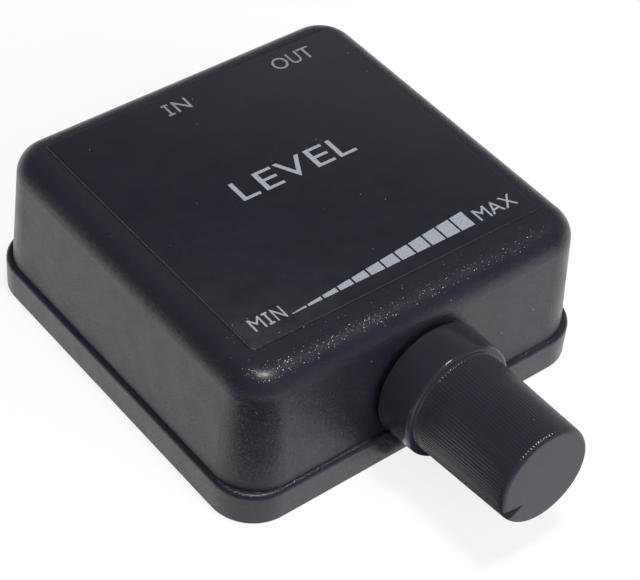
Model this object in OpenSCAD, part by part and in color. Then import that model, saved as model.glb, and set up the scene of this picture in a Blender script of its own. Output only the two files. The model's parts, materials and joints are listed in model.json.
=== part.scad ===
// Inline volume control: a drafted plastic case on a shallow base tray, a push-on
// knob on a two-gang rotary potentiometer, and two 3.5 mm sockets at the rear.
// Millimetres. The origin is the centre of the underside, the knob faces -Y,
// the sockets face +Y and +Z is up.

/* [Case] */
// Overall width of the base, left to right
case_w = 50; // [48:0.5:58]
// Overall depth of the base, front to rear
case_d = 50; // [48:0.5:60]
// Height of the case, from the underside to the moulded top
case_h = 20; // [19.5:0.25:24]
// Plan corner radius of the base
corner_r = 5.4; // [5.2:0.1:6.2]
// Plan corner radius of the upper case where it meets the base
shell_r = 5.5; // [5.3:0.1:5.9]
// Wall thickness of the upper case where it meets the base
wall_t = 2; // [1.8:0.05:2.2]
// Thickness of the upper case's top
roof_t = 2; // [1.5:0.1:2.2]
// Inward lean of the upper case's walls, in degrees
draft = 3.5; // [2.5:0.1:4]
// Radius of the upper case's top edge
top_round = 3; // [2.4:0.1:3.3]
// Radius of the edge between the walls and the top, inside
inner_round = 1.1; // [0.6:0.1:1.5]

/* [Base tray] */
// Height of the tray's rim, where the upper case sits on it
rim_h = 4.4; // [4.2:0.05:4.8]
// How far the rim stands out past the walls, and the radius of its edge
rim_step = 0.55; // [0.45:0.05:0.7]
// Width of the flat seat on the rim, under the walls
rim_seat = 1; // [0.8:0.05:1.1]
// Thickness of the tray's floor
floor_t = 2; // [1.8:0.05:2.2]
// Radius of the tray's lower edge
foot_round = 0.2; // [0.1:0.05:0.6]
// Play between the upper case's tongue and the rim
lap_gap = 0.1; // [0.05:0.05:0.2]
// Play between the upper case's tongue and the floor
tongue_gap = 0.3; // [0.2:0.05:0.5]

/* [Case screws] */
// Distance of a screw's axis from the walls
screw_inset = 5.3; // [5.2:0.05:5.4]
// Radius of a screw post in the upper case
boss_r = 2; // [1.9:0.05:2.1]
// Radius of the raised pad round a screw hole in the tray
post_r = 1.9; // [1.7:0.05:1.9]
// Height of that pad above the floor
post_h = 0.8; // [0.5:0.1:1.2]
// Radius of a screw's shank
screw_r = 0.85; // [0.7:0.05:1]
// Length of a screw's shank
screw_l = 7; // [5:0.5:9]
// Radius of a screw's head
head_r = 1.7; // [1.5:0.05:1.8]
// Height of a screw's head
head_h = 1.3; // [1:0.05:1.4]
// Depth of the recess for a screw's head
head_recess = 1.5; // [1.4:0.05:1.7]
// Width of the cross cut in a screw's head
cross_w = 0.45; // [0.3:0.05:0.6]
// Length of the cross cut
cross_l = 2; // [1.6:0.1:2.4]
// Depth of the cross cut
cross_d = 0.8; // [0.5:0.05:0.9]

/* [Top label] */
// Thickness of the printed film on the top
label_t = 0.15; // [0.1:0.05:0.3]
// Corner radius of the film
label_r = 1; // [0.5:0.1:2]
// Bare strip left of the film, on the flat of the top
label_left = 0.75; // [0.3:0.05:2]
// Bare strip right of the film
label_right = 0.25; // [0.1:0.05:2]
// Bare strip in front of the film
label_front = 2.15; // [0.3:0.05:3]
// Bare strip behind the film
label_rear = 0.35; // [0.1:0.05:2]
// Turn of the film as it was stuck on, to the left, in degrees
label_turn = -0.7; // [-1:0.1:1]

/* [Knob] */
// Height of the knob's axis where it leaves the wall
knob_z = 10; // [9.9:0.05:11]
// Running gap between the knob's collar and the rim
knob_gap = 0.35; // [0.25:0.05:0.6]
// Radius of the smooth collar
collar_r = 6.6; // [6.5:0.05:7]
// Length of the smooth collar
collar_l = 4.65; // [4.4:0.05:6]
// Radius of the collar's front edge
collar_round = 0.4; // [0.2:0.05:0.5]
// Length of the smooth neck between collar and grip
neck_l = 0.6; // [0.2:0.05:0.8]
// Radius of the ribbed grip where it starts
grip_r = 6.5; // [6.3:0.05:6.6]
// Radius of the ribbed grip at its tip
tip_r = 6; // [5.6:0.05:6.2]
// Length of the grip
grip_l = 13.35; // [11:0.05:15]
// Number of ribs round the grip
rib_n = 94; // [60:2:120]
// Depth of the ribs
rib_d = 0.18; // [0.1:0.01:0.25]
// Share of a rib's pitch that its crest takes up
rib_crest = 0.4; // [0.2:0.05:0.5]
// Share of a rib's pitch that each flank takes up
rib_flank = 0.2; // [0.1:0.05:0.24]
// Radius of the edge round the end face
tip_round = 0.35; // [0.2:0.05:0.5]
// Thickness of the end of the knob, past the shaft
tip_t = 2; // [1.5:0.1:3]
// Angle of the pointer from the top, to the right, in degrees
pointer_angle = -121.5; // [-150:0.5:150]
// Lean of the pointer from the radius, to the left, in degrees
pointer_lean = -20; // [-30:1:30]
// Length of the pointer cut in the end face
pointer_l = 2.5; // [1.5:0.1:3]
// Width of the pointer cut at the rim
pointer_w = 1.9; // [1:0.1:2.2]
// Depth of the pointer cut
pointer_d = 0.7; // [0.4:0.1:1]

/* [Potentiometer] */
// Width and height of the potentiometer
pot_w = 11; // [10.5:0.1:11.5]
// Corner radius of the potentiometer
pot_corner = 1; // [0.5:0.1:1.5]
// Radius of the threaded bush
bush_r = 3.5; // [3.4:0.02:3.6]
// Bush that shows past the nut
bush_over = 0.6; // [0.3:0.1:0.8]
// Thickness of the mounting plate
plate_t = 1.8; // [1.6:0.1:2.2]
// Radius of the shaft in the bush and the knob
shaft_r = 3; // [2.9:0.02:3.1]
// Radius of the shaft inside the potentiometer
tail_r = 2; // [1.8:0.05:2.1]
// Width of the slot in the shaft's end
slot_w = 0.9; // [0.6:0.1:1.2]
// Depth of the slot in the shaft's end
slot_l = 5; // [3:0.5:6]
// Outer radius of the clip that holds the shaft
clip_r = 3.9; // [3.7:0.05:4.1]
// Thickness of the clip
clip_t = 0.5; // [0.4:0.05:0.6]
// Depth of the groove for the clip
clip_groove = 0.3; // [0.2:0.05:0.4]
// Width of the clip's mouth
clip_mouth = 2.75; // [2.4:0.05:3]
// Thickness of the lock washer
washer_t = 0.5; // [0.4:0.05:0.7]
// Outer radius of the lock washer
washer_r = 5.2; // [5:0.05:5.5]
// Number of teeth on the lock washer
washer_teeth = 10; // [8:1:14]
// Width of the notches between those teeth
notch_w = 0.7; // [0.5:0.1:1]
// Depth of those notches
notch_d = 0.7; // [0.5:0.1:1]
// Width of the nut across its flats
nut_flats = 10; // [9.6:0.1:10.2]
// Thickness of the nut
nut_t = 2; // [1.8:0.1:2.4]
// Depth of one gang's housing
gang_l = 3.6; // [3.4:0.1:4]
// Thickness of the front of a housing
gang_front = 0.8; // [0.6:0.1:1]
// Radius of the room inside a housing
gang_r = 4.7; // [4.5:0.05:4.9]
// Thickness of a track board
track_t = 1.2; // [1:0.1:1.4]
// Thickness of the rear cover
cover_t = 0.5; // [0.4:0.05:0.7]
// Width of the rear cover's straps
strap_w = 4; // [3:0.5:5]
// Radius of a wiper carrier
rotor_r = 3.6; // [3.4:0.05:3.7]
// Thickness of a wiper carrier
rotor_t = 1.6; // [1.2:0.1:1.7]
// Reach of the stop finger on the front carrier
finger_r = 4.4; // [4.2:0.05:4.45]
// Whole travel between the stops, in degrees
travel = 300; // [270:5:310]
// Angle that the stop finger takes up, in degrees
finger_angle = 20; // [12:1:24]
// Play at each stop, in degrees
stop_play = 1; // [0.5:0.1:2]
// Thickness of a wiper spring
wiper_t = 0.25; // [0.2:0.05:0.3]
// Radius at which a wiper touches its track
wiper_arm = 3; // [2.8:0.1:3.2]
// Width of a wiper's contact finger, round the shaft
wiper_w = 0.4; // [0.3:0.05:0.5]
// Length of a wiper's contact finger, away from the shaft
wiper_l = 0.5; // [0.4:0.05:0.6]
// Angle between a wiper's two fingers, in degrees
wiper_spread = 24; // [16:1:40]
// Distance between the solder lugs
lug_pitch = 3; // [2.8:0.1:3.2]
// Width of a solder lug
lug_w = 1.6; // [1.2:0.1:1.8]
// Thickness of a solder lug
lug_t = 0.4; // [0.3:0.05:0.5]
// How far a solder lug reaches into its board
lug_root = 2; // [1.5:0.1:2.5]
// Length of the front gang's lugs past the board
front_lug = 6.5; // [6:0.1:7]
// Length of the rear gang's lugs past the board
rear_lug = 3.5; // [3:0.1:4]

/* [Sockets] */
// Distance of the output socket's axis from the right of the base
output_side = 12; // [12:0.1:15]
// Distance of the input socket's axis from the output socket's
socket_pitch = 16.3; // [14:0.1:18]
// Height of the sockets' axes where they leave the wall
socket_z = 10; // [9.5:0.1:11]
// Radius of the hole for the plug
plug_r = 1.8; // [1.75:0.01:1.9]
// Length of that hole at the mouth of the bush, which guides the plug
mouth_l = 2.4; // [2:0.1:2.4]
// Room round the plug, past the mouth
plug_room = 0.4; // [0.3:0.05:0.6]
// Length of the plug that goes in
plug_l = 14; // [13:0.1:14.5]
// Radius of the socket's threaded bush
collet_r = 3; // [2.8:0.05:3.1]
// Radius of the flange behind the bush
flange_r = 3.5; // [3.3:0.05:3.6]
// Thickness of that flange
flange_t = 0.8; // [0.6:0.1:1]
// Bush that shows past the ring nut
collet_over = 0.5; // [0.3:0.1:0.8]
// Radius of the ring nut
ring_r = 4; // [3.8:0.05:4.2]
// Thickness of the ring nut
ring_t = 2; // [1.5:0.1:2.5]
// Number of teeth round the ring nut
ring_teeth = 36; // [24:2:48]
// Depth of those teeth
ring_tooth = 0.15; // [0.1:0.01:0.2]
// Width of a socket's body
socket_w = 8; // [7.9:0.05:8.2]
// Height of a socket's body
socket_h = 9; // [8.6:0.1:9.4]
// Depth of a socket's body
socket_l = 10.5; // [10:0.1:11]
// Corner radius of a socket's body
socket_corner = 0.8; // [0.4:0.1:1.2]
// Thickness of the contact strips
strip_t = 0.4; // [0.3:0.05:0.5]
// Width of the contact strips
strip_w = 1.4; // [1.2:0.1:1.6]
// How far the tip contact reaches in from the rear of the body
tip_reach = 4; // [3.5:0.1:4.5]
// How far the ring contact reaches in from the rear of the body
ring_reach = 7; // [6.5:0.1:7.5]
// Height of a solder tag above its strip
tag_l = 3.2; // [2.8:0.1:3.5]

/* [Wiring] */
// Radius of the insulated wires
wire_r = 0.6; // [0.4:0.05:0.7]
// Pull of a rear gang's wire, straight off its tag and its lug
rear_lead = 7; // [6:0.5:9]
// Pull of a front gang's wire, straight off its tag
tag_lead = 4; // [3:0.5:6]
// Pull of a front gang's wire, straight off its lug and past the rear gang
lug_lead = 14; // [12:0.5:16]
// Radius of the bare link between the ground lugs
link_r = 0.4; // [0.3:0.05:0.5]

/* [Fits] */
// Play of a turning shaft in its bearing
run_gap = 0.05; // [0.02:0.01:0.08]
// Play of pieces that are pressed or screwed together
fit_gap = 0.02; // [0.01:0.01:0.04]
// Play of a bush or screw in its hole
hole_gap = 0.1; // [0.05:0.05:0.2]
// Room between a turning piece and what it passes
swing_gap = 0.3; // [0.2:0.05:0.35]
// Gap between a wiper and its track
touch_gap = 0.1; // [0.05:0.01:0.15]

/* [Hidden] */
$fn = 64;

// Faces of the walls, measured from the middle at the top of the rim
half_w = case_w / 2 - rim_step;
half_d = case_d / 2 - rim_step;
lean = tan(draft);
function lean_in(z) = lean * (z - rim_h);
function wall_y(z) = half_d - lean_in(z);
panel_t = wall_t * cos(draft);

// The lap between the upper case and the tray
seat_w = half_w - rim_seat;
seat_d = half_d - rim_seat;
seat_corner = shell_r - rim_seat;
tongue_z = floor_t + tongue_gap;
cavity_z = tongue_z - lap_gap;
cavity_grow = lean * (rim_h - cavity_z) - wall_t;

// Screw posts
screw_x = half_w - screw_inset;
screw_y = half_d - screw_inset;
post_z = floor_t + post_h;
pilot_l = screw_l - (post_z - head_recess) + hole_gap;

// The flat of the top, inside its rounded edge
top_in = lean_in(case_h - top_round) + top_round / cos(draft);
flat_w = half_w - top_in;
flat_d = half_d - top_in;

// The potentiometer's stack, behind the front wall
nut_corner = nut_flats / 2 / cos(30);
nose_l = washer_t + nut_t + bush_over;
barrel_l = panel_t + nose_l;
front_gang_z = plate_t;
front_track_z = front_gang_z + gang_l;
rear_gang_z = front_track_z + track_t;
rear_track_z = rear_gang_z + gang_l;
cover_z = rear_track_z + track_t;
rotor_z = gang_front + swing_gap;
wiper_z = rotor_z + rotor_t;
clip_pocket = clip_t + 2 * run_gap;
finger_turn = atan2(cos(pointer_angle), -sin(pointer_angle));
stop_angle = 360 - travel - finger_angle - 2 * stop_play;

// The knob, from its rear face, which stands clear of the rim
knob_off = rim_step + knob_gap;
knob_l = collar_l + neck_l + grip_l;
hollow_r = nut_corner + swing_gap;
hollow_l = nose_l + swing_gap - knob_off;
shaft_l = panel_t + knob_off + knob_l - tip_t;

// The sockets, behind the rear wall
output_x = case_w / 2 - output_side;
input_x = output_x - socket_pitch;
collet_l = panel_t + ring_t + collet_over;
plug_end = plug_l - collet_l + swing_gap;
contact_x = plug_r + run_gap;
tag_x = contact_x + strip_w / 2;
tag_y = -socket_l - strip_t;
tag_z = tag_l - strip_w / 2;
sleeve_tag_z = (tag_l - socket_h) / 2;

case_colour = [0.07, 0.07, 0.08];
metal_colour = [0.75, 0.75, 0.72];
brass_colour = [0.8, 0.65, 0.3];
board_colour = [0.45, 0.25, 0.12];
frame_colour = [0.16, 0.16, 0.17];
rotor_colour = [0.9, 0.9, 0.86];
label_colour = [0.08, 0.08, 0.11];
white_colour = [0.85, 0.85, 0.82];
red_colour = [0.7, 0.1, 0.08];
black_colour = [0.08, 0.08, 0.08];

// Plan outline with round corners
module rounded_rect(hx, hy, r) {
    square([2 * hx, 2 * (hy - r)], center = true);
    square([2 * (hx - r), 2 * hy], center = true);
    for (sx = [-1, 1], sy = [-1, 1])
        translate([sx * (hx - r), sy * (hy - r)]) circle(r);
}

// Half section of a wall, outwards from a corner's axis: a leaning face, a round top
// edge and, if asked for, a round lower edge
module wall_section(r, z0, z1, angle, top_r, foot_r) {
    up = z1 - top_r;
    edge = r - (up - z0) * tan(angle) - top_r / cos(angle);
    foot = foot_r > 0 ? [[r - foot_r, z0], [r, z0 + foot_r]] : [[r, z0]];
    side = [[edge + top_r * cos(angle), up + top_r * sin(angle)], [edge, z1]];
    intersection() {
        union() {
            polygon(concat([[-r, z0]], foot, side, [[-r, z1]]));
            translate([edge, up]) circle(top_r);
            if (foot_r > 0) translate([r - foot_r, z0 + foot_r]) circle(foot_r);
        }
        translate([0, z0]) square([r, z1 - z0]);
    }
}

// The same section on both sides of a flat middle
module block_section(mid, r, z0, z1, angle, top_r, foot_r) {
    translate([-mid, z0]) square([2 * mid, z1 - z0]);
    for (side = [0, 1]) mirror([side, 0])
        translate([mid, 0]) wall_section(r, z0, z1, angle, top_r, foot_r);
}

// Block with round corners, leaning walls and a round top edge
module rounded_block(hx, hy, r, z0, z1, angle, top_r, foot_r = 0) {
    mx = hx - r;
    my = hy - r;
    rotate([90, 0, 0]) linear_extrude(2 * my, center = true)
        block_section(mx, r, z0, z1, angle, top_r, foot_r);
    rotate([90, 0, 90]) linear_extrude(2 * mx, center = true)
        block_section(my, r, z0, z1, angle, top_r, foot_r);
    for (quarter = [0:3]) {
        sx = quarter == 0 || quarter == 3 ? 1 : -1;
        sy = quarter < 2 ? 1 : -1;
        translate([sx * mx, sy * my, 0]) rotate(90 * quarter)
            rotate_extrude(angle = 90) wall_section(r, z0, z1, angle, top_r, foot_r);
    }
}

module at_screws() {
    for (sx = [-1, 1], sy = [-1, 1]) translate([sx * screw_x, sy * screw_y, 0]) children();
}

// Knob frame: origin on the axis at the knob's rear face, Z square out of the wall, Y up
module at_knob() {
    translate([0, -wall_y(knob_z), knob_z]) rotate([90 - draft, 0, 0])
        translate([0, 0, knob_off]) children();
}

// Potentiometer frame: origin on the axis at the inside of the wall, Z square inwards, Y down
module at_pot() {
    translate([0, -wall_y(knob_z), knob_z]) rotate([-90 - draft, 0, 0])
        translate([0, 0, panel_t]) children();
}

// Socket frame: origin on the axis at the inside of the wall, Y square outwards, Z up
module at_socket(x) {
    translate([x, wall_y(socket_z), socket_z]) rotate([draft, 0, 0])
        translate([0, -panel_t, 0]) children();
}

// Round bar along Y, from y0 to y1
module bar_y(r, y0, y1) {
    translate([0, y1, 0]) rotate([90, 0, 0]) cylinder(r = r, h = y1 - y0);
}

module upper_case() {
    color(case_colour) difference() {
        union() {
            difference() {
                union() {
                    rounded_block(half_w, half_d, shell_r, rim_h, case_h, draft, top_round);
                    translate([0, 0, tongue_z]) linear_extrude(rim_h - tongue_z + lap_gap)
                        rounded_rect(seat_w - lap_gap, seat_d - lap_gap, seat_corner - lap_gap);
                }
                rounded_block(half_w + cavity_grow, half_d + cavity_grow, shell_r + cavity_grow,
                    cavity_z, case_h - roof_t, draft, inner_round);
            }
            at_screws() translate([0, 0, post_z])
                cylinder(r = boss_r, h = case_h - roof_t / 2 - post_z);
        }
        at_screws() translate([0, 0, post_z - hole_gap])
            cylinder(r = screw_r + hole_gap / 2, h = pilot_l + hole_gap);
        at_pot() translate([0, 0, -2 * panel_t]) cylinder(r = bush_r + hole_gap, h = 3 * panel_t);
        for (x = [input_x, output_x]) at_socket(x) bar_y(collet_r + hole_gap, -panel_t, 2 * panel_t);
    }
}

module base_cover() {
    color(case_colour) difference() {
        union() {
            difference() {
                rounded_block(case_w / 2, case_d / 2, corner_r, 0, rim_h, 0, rim_step, foot_round);
                translate([0, 0, floor_t]) linear_extrude(rim_h) rounded_rect(seat_w, seat_d, seat_corner);
            }
            at_screws() translate([0, 0, floor_t / 2]) cylinder(r = post_r, h = post_z - floor_t / 2);
        }
        at_screws() {
            translate([0, 0, -head_h]) cylinder(r = head_r + hole_gap, h = head_recess + head_h);
            cylinder(r = screw_r + 2 * hole_gap, h = rim_h);
        }
    }
}

module case_screws() {
    color(metal_colour) at_screws() translate([0, 0, head_recess - head_h]) difference() {
        union() {
            cylinder(r = head_r, h = head_h);
            translate([0, 0, head_h / 2]) cylinder(r = screw_r, h = head_h / 2 + screw_l);
        }
        for (turn = [0, 90]) rotate(turn)
            translate([-cross_l / 2, -cross_w / 2, -cross_d]) cube([cross_l, cross_w, 2 * cross_d]);
    }
}

module top_label() {
    label_w = 2 * flat_w - label_left - label_right;
    label_d = 2 * flat_d - label_front - label_rear;
    color(label_colour)
        translate([(label_left - label_right) / 2, (label_front - label_rear) / 2, case_h])
        rotate(label_turn) linear_extrude(label_t) rounded_rect(label_w / 2, label_d / 2, label_r);
}

// Ribbed outline of the grip: flat crests with narrow flat roots between them
function rib_outline(r) = [
    for (i = [0:rib_n - 1],
        corner = [[0, 0], [rib_crest, 0], [rib_crest + rib_flank, rib_d], [1 - rib_flank, rib_d]])
        let (a = 360 / rib_n * (i + corner[0])) (r - corner[1]) * [cos(a), sin(a)]
];

// Tapered grip, from the wide ribbed outline to the narrow one
module ribbed_grip(h) {
    n = 4 * rib_n;
    rings = [for (end = [[grip_r, 0], [tip_r, h]], p = rib_outline(end[0])) [p[0], p[1], end[1]]];
    faces = [
        for (k = [0:n - 1])
            let (next = (k + 1) % n)
            each [
                [k, n + k, n + next], [k, n + next, next],
                [2 * n, k, next], [2 * n + 1, n + next, n + k]
            ]
    ];
    polyhedron(concat(rings, [[0, 0, 0], [0, 0, h]]), faces);
}

module knob() {
    root_r = tip_r - rib_d;
    color(case_colour) at_knob() difference() {
        union() {
            rotate_extrude() {
                square([collar_r, collar_l - collar_round]);
                square([collar_r - collar_round, collar_l]);
                translate([collar_r - collar_round, collar_l - collar_round]) circle(collar_round);
            }
            cylinder(r = grip_r - rib_d, h = collar_l + neck_l);
            cylinder(r = root_r - tip_round, h = knob_l - tip_round);
            translate([0, 0, collar_l + neck_l]) ribbed_grip(grip_l - tip_round);
            translate([0, 0, knob_l - 2 * tip_round]) rotate_extrude() {
                square([root_r, tip_round]);
                square([root_r - tip_round, 2 * tip_round]);
                translate([root_r - tip_round, tip_round]) circle(tip_round);
            }
        }
        translate([0, 0, -collar_l]) cylinder(r = hollow_r, h = collar_l + hollow_l);
        cylinder(r = shaft_r + fit_gap, h = knob_l - tip_t + fit_gap);
        rotate(-pointer_angle) translate([0, tip_r - pointer_l / 2, knob_l - pointer_d / 2])
            rotate([atan2(pointer_l, pointer_d), 0, pointer_lean])
            linear_extrude(2 * pointer_l, center = true)
            polygon([[0, 0], [pointer_w, 2 * pointer_d], [-pointer_w, 2 * pointer_d]]);
    }
}

module pot_shaft() {
    shaft_z = plate_t - clip_pocket;
    color(metal_colour) at_pot() difference() {
        union() {
            translate([0, 0, -shaft_l]) cylinder(r = shaft_r, h = shaft_l + shaft_z);
            cylinder(r = tail_r, h = cover_z - touch_gap);
        }
        translate([-shaft_r - fit_gap, -slot_w / 2, -shaft_l - fit_gap])
            cube([2 * (shaft_r + fit_gap), slot_w, slot_l + fit_gap]);
        translate([0, 0, shaft_z + run_gap]) rotate_extrude()
            translate([tail_r - clip_groove, 0]) square([clip_groove + fit_gap, clip_t]);
    }
}

// Open clip in the groove of the shaft, behind the plate
module pot_shaft_clip() {
    inner_r = tail_r - clip_groove + fit_gap;
    color(metal_colour) at_pot() translate([0, 0, plate_t - clip_pocket + run_gap]) difference() {
        cylinder(r = clip_r, h = clip_t);
        translate([0, 0, -clip_t]) cylinder(r = inner_r, h = 3 * clip_t);
        translate([0, -clip_mouth / 2, -clip_t]) cube([2 * clip_r, clip_mouth, 3 * clip_t]);
    }
}

// Carrier that turns with the shaft, z from the front of its housing
module rotor(z) {
    translate([0, 0, z + rotor_z]) difference() {
        cylinder(r = rotor_r, h = rotor_t);
        translate([0, 0, -rotor_t]) cylinder(r = tail_r + fit_gap, h = 3 * rotor_t);
    }
}

module pot_front_rotor() {
    color(rotor_colour) at_pot() {
        rotor(front_gang_z);
        translate([0, 0, front_gang_z + rotor_z]) rotate(finger_turn - finger_angle / 2)
            rotate_extrude(angle = finger_angle)
            translate([tail_r + fit_gap, 0]) square([finger_r - tail_r - fit_gap, rotor_t]);
    }
}

module pot_rear_rotor() {
    color(rotor_colour) at_pot() rotor(rear_gang_z);
}

// Spring ring on a carrier, with two fingers that reach for the track
module wiper(z) {
    color(brass_colour) at_pot() translate([0, 0, z + wiper_z]) {
        difference() {
            cylinder(r = rotor_r - swing_gap, h = wiper_t);
            translate([0, 0, -wiper_t]) cylinder(r = tail_r + swing_gap, h = 3 * wiper_t);
        }
        for (side = [-1, 1]) rotate(finger_turn + 180 + side * wiper_spread / 2)
            translate([wiper_arm - wiper_l / 2, -wiper_w / 2, 0])
            cube([wiper_l, wiper_w, gang_l - wiper_z - touch_gap]);
    }
}

module pot_front_wiper() { wiper(front_gang_z); }
module pot_rear_wiper() { wiper(rear_gang_z); }

module pot_bush() {
    color(metal_colour) at_pot() difference() {
        union() {
            linear_extrude(plate_t) rounded_rect(pot_w / 2, pot_w / 2, pot_corner);
            translate([0, 0, -barrel_l]) cylinder(r = bush_r, h = barrel_l + plate_t / 2);
        }
        translate([0, 0, -2 * barrel_l]) cylinder(r = shaft_r + run_gap, h = 3 * barrel_l);
        translate([0, 0, plate_t - clip_pocket]) cylinder(r = clip_r + swing_gap, h = plate_t);
    }
}

module pot_lock_washer() {
    color(metal_colour) at_pot() translate([0, 0, -panel_t - washer_t]) difference() {
        cylinder(r = washer_r, h = washer_t);
        translate([0, 0, -washer_t]) cylinder(r = bush_r + hole_gap, h = 3 * washer_t);
        for (i = [0:washer_teeth - 1]) rotate(360 / washer_teeth * i)
            translate([washer_r - notch_d, -notch_w / 2, -washer_t])
            cube([2 * notch_d, notch_w, 3 * washer_t]);
    }
}

module pot_nut() {
    color(metal_colour) at_pot() translate([0, 0, -panel_t - washer_t - nut_t]) difference() {
        cylinder(r = nut_corner, h = nut_t, $fn = 6);
        translate([0, 0, -nut_t]) cylinder(r = bush_r + fit_gap, h = 3 * nut_t);
    }
}

// One gang's housing: a square cup, open to its track board
module gang_housing(z) {
    translate([0, 0, z]) difference() {
        linear_extrude(gang_l) rounded_rect(pot_w / 2, pot_w / 2, pot_corner);
        translate([0, 0, gang_front]) cylinder(r = gang_r, h = gang_l);
        translate([0, 0, -gang_front]) cylinder(r = tail_r + swing_gap, h = 3 * gang_front);
    }
}

module pot_front_housing() {
    color(frame_colour) at_pot() {
        gang_housing(front_gang_z);
        translate([0, 0, front_gang_z + gang_front / 2]) rotate(-90 - stop_angle / 2)
            rotate_extrude(angle = stop_angle) translate([rotor_r + swing_gap, 0])
            square([gang_r - rotor_r, rotor_z + rotor_t - gang_front / 2]);
    }
}

module pot_rear_housing() {
    color(frame_colour) at_pot() gang_housing(rear_gang_z);
}

// Places of one gang's three lugs
module at_lugs(z) {
    for (i = [-1:1]) translate([pot_w / 2 - lug_root, i * lug_pitch - lug_w / 2, z + track_t - lug_t])
        children();
}

module track_board(z, bearing_gap) {
    color(board_colour) at_pot() difference() {
        translate([0, 0, z]) linear_extrude(track_t) rounded_rect(pot_w / 2, pot_w / 2, pot_corner);
        translate([0, 0, z - track_t]) cylinder(r = tail_r + bearing_gap, h = 3 * track_t);
        at_lugs(z) cube([2 * lug_root, lug_w, 2 * lug_t]);
    }
}

module lugs(z, past) {
    color(brass_colour) at_pot() at_lugs(z) cube([lug_root + past, lug_w, lug_t]);
}

module pot_front_track() { track_board(front_track_z, swing_gap); }
module pot_rear_track() { track_board(rear_track_z, run_gap); }
module pot_front_lugs() { lugs(front_track_z, front_lug); }
module pot_rear_lugs() { lugs(rear_track_z, rear_lug); }

// Sheet cover over the stack, with a strap down the top and one down the bottom
module pot_rear_cover() {
    color(metal_colour) at_pot() {
        translate([0, 0, cover_z]) linear_extrude(cover_t) {
            rounded_rect(pot_w / 2, pot_w / 2, pot_corner);
            square([strap_w, pot_w + 2 * cover_t], center = true);
        }
        for (side = [0, 1]) mirror([0, side, 0]) translate([-strap_w / 2, pot_w / 2, plate_t / 2])
            cube([strap_w, cover_t, cover_z + cover_t - plate_t / 2]);
    }
}

// Straight strip with a bent-up tag, and a round bump that meets the plug
module side_contact(side, reach) {
    mirror([side, 0, 0]) {
        translate([contact_x + strip_t, tag_y, -strip_w / 2]) cube([strip_t, reach + strip_t, strip_w]);
        translate([contact_x + strip_t, reach - socket_l - strip_t, 0])
            cylinder(r = strip_t, h = strip_w, center = true);
        translate([contact_x, tag_y, -strip_w / 2]) cube([strip_w, strip_t, tag_l]);
    }
}

module socket_body(x) {
    color(frame_colour) at_socket(x) difference() {
        rotate([90, 0, 0]) linear_extrude(socket_l) rounded_rect(socket_w / 2, socket_h / 2, socket_corner);
        bar_y(flange_r + hole_gap, -flange_t, flange_t);
        bar_y(plug_r + plug_room, -plug_end, 0);
        for (contact = [[0, tip_reach], [1, ring_reach]]) mirror([contact[0], 0, 0])
            translate([0, -2 * socket_l, -strip_w / 2 - hole_gap])
            cube([
                contact_x + 2 * strip_t + hole_gap,
                socket_l + contact[1] + hole_gap,
                strip_w + 2 * hole_gap
            ]);
        translate([-strip_w / 2, -2 * socket_l, -socket_h])
            cube([strip_w, 3 * socket_l, socket_h / 2 + strip_t]);
        translate([-strip_w / 2, -flange_t - strip_t, -socket_h])
            cube([strip_w, strip_t, socket_h - collet_r]);
    }
}

module socket_bush(x) {
    color(metal_colour) at_socket(x) difference() {
        union() {
            bar_y(flange_r, -flange_t, 0);
            bar_y(collet_r, -flange_t, collet_l);
        }
        bar_y(plug_r, -flange_t, 2 * collet_l);
        bar_y(plug_r + plug_room, -2 * collet_l, collet_l - mouth_l);
    }
}

// Ring nut with a finely toothed edge
module socket_nut(x) {
    outline = [
        for (i = [0:ring_teeth - 1], corner = [[0, 0], [0.5, ring_tooth]])
            let (a = 360 / ring_teeth * (i + corner[0])) (ring_r - corner[1]) * [cos(a), sin(a)]
    ];
    color(metal_colour) at_socket(x) difference() {
        translate([0, panel_t + ring_t, 0]) rotate([90, 0, 0]) linear_extrude(ring_t) polygon(outline);
        bar_y(collet_r + fit_gap, panel_t - ring_t, panel_t + 2 * ring_t);
    }
}

// Strip along the underside of a socket, from the bush's flange to a tag at the rear
module sleeve_contact(x) {
    color(brass_colour) at_socket(x) {
        translate([-strip_w / 2, tag_y, -socket_h / 2])
            cube([strip_w, socket_l + strip_t - flange_t, strip_t]);
        translate([-strip_w / 2, -flange_t - strip_t, -socket_h / 2])
            cube([strip_w, strip_t, socket_h / 2 - collet_r]);
        translate([-strip_w / 2, tag_y, -socket_h / 2]) cube([strip_w, strip_t, tag_l]);
    }
}

module input_body() { socket_body(input_x); }
module input_bush() { socket_bush(input_x); }
module input_nut() { socket_nut(input_x); }
module input_tip_contact() { color(brass_colour) at_socket(input_x) side_contact(0, tip_reach); }
module input_ring_contact() { color(brass_colour) at_socket(input_x) side_contact(1, ring_reach); }
module input_sleeve_contact() { sleeve_contact(input_x); }
module output_body() { socket_body(output_x); }
module output_bush() { socket_bush(output_x); }
module output_nut() { socket_nut(output_x); }
module output_tip_contact() { color(brass_colour) at_socket(output_x) side_contact(0, tip_reach); }
module output_ring_contact() { color(brass_colour) at_socket(output_x) side_contact(1, ring_reach); }
module output_sleeve_contact() { sleeve_contact(output_x); }

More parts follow.
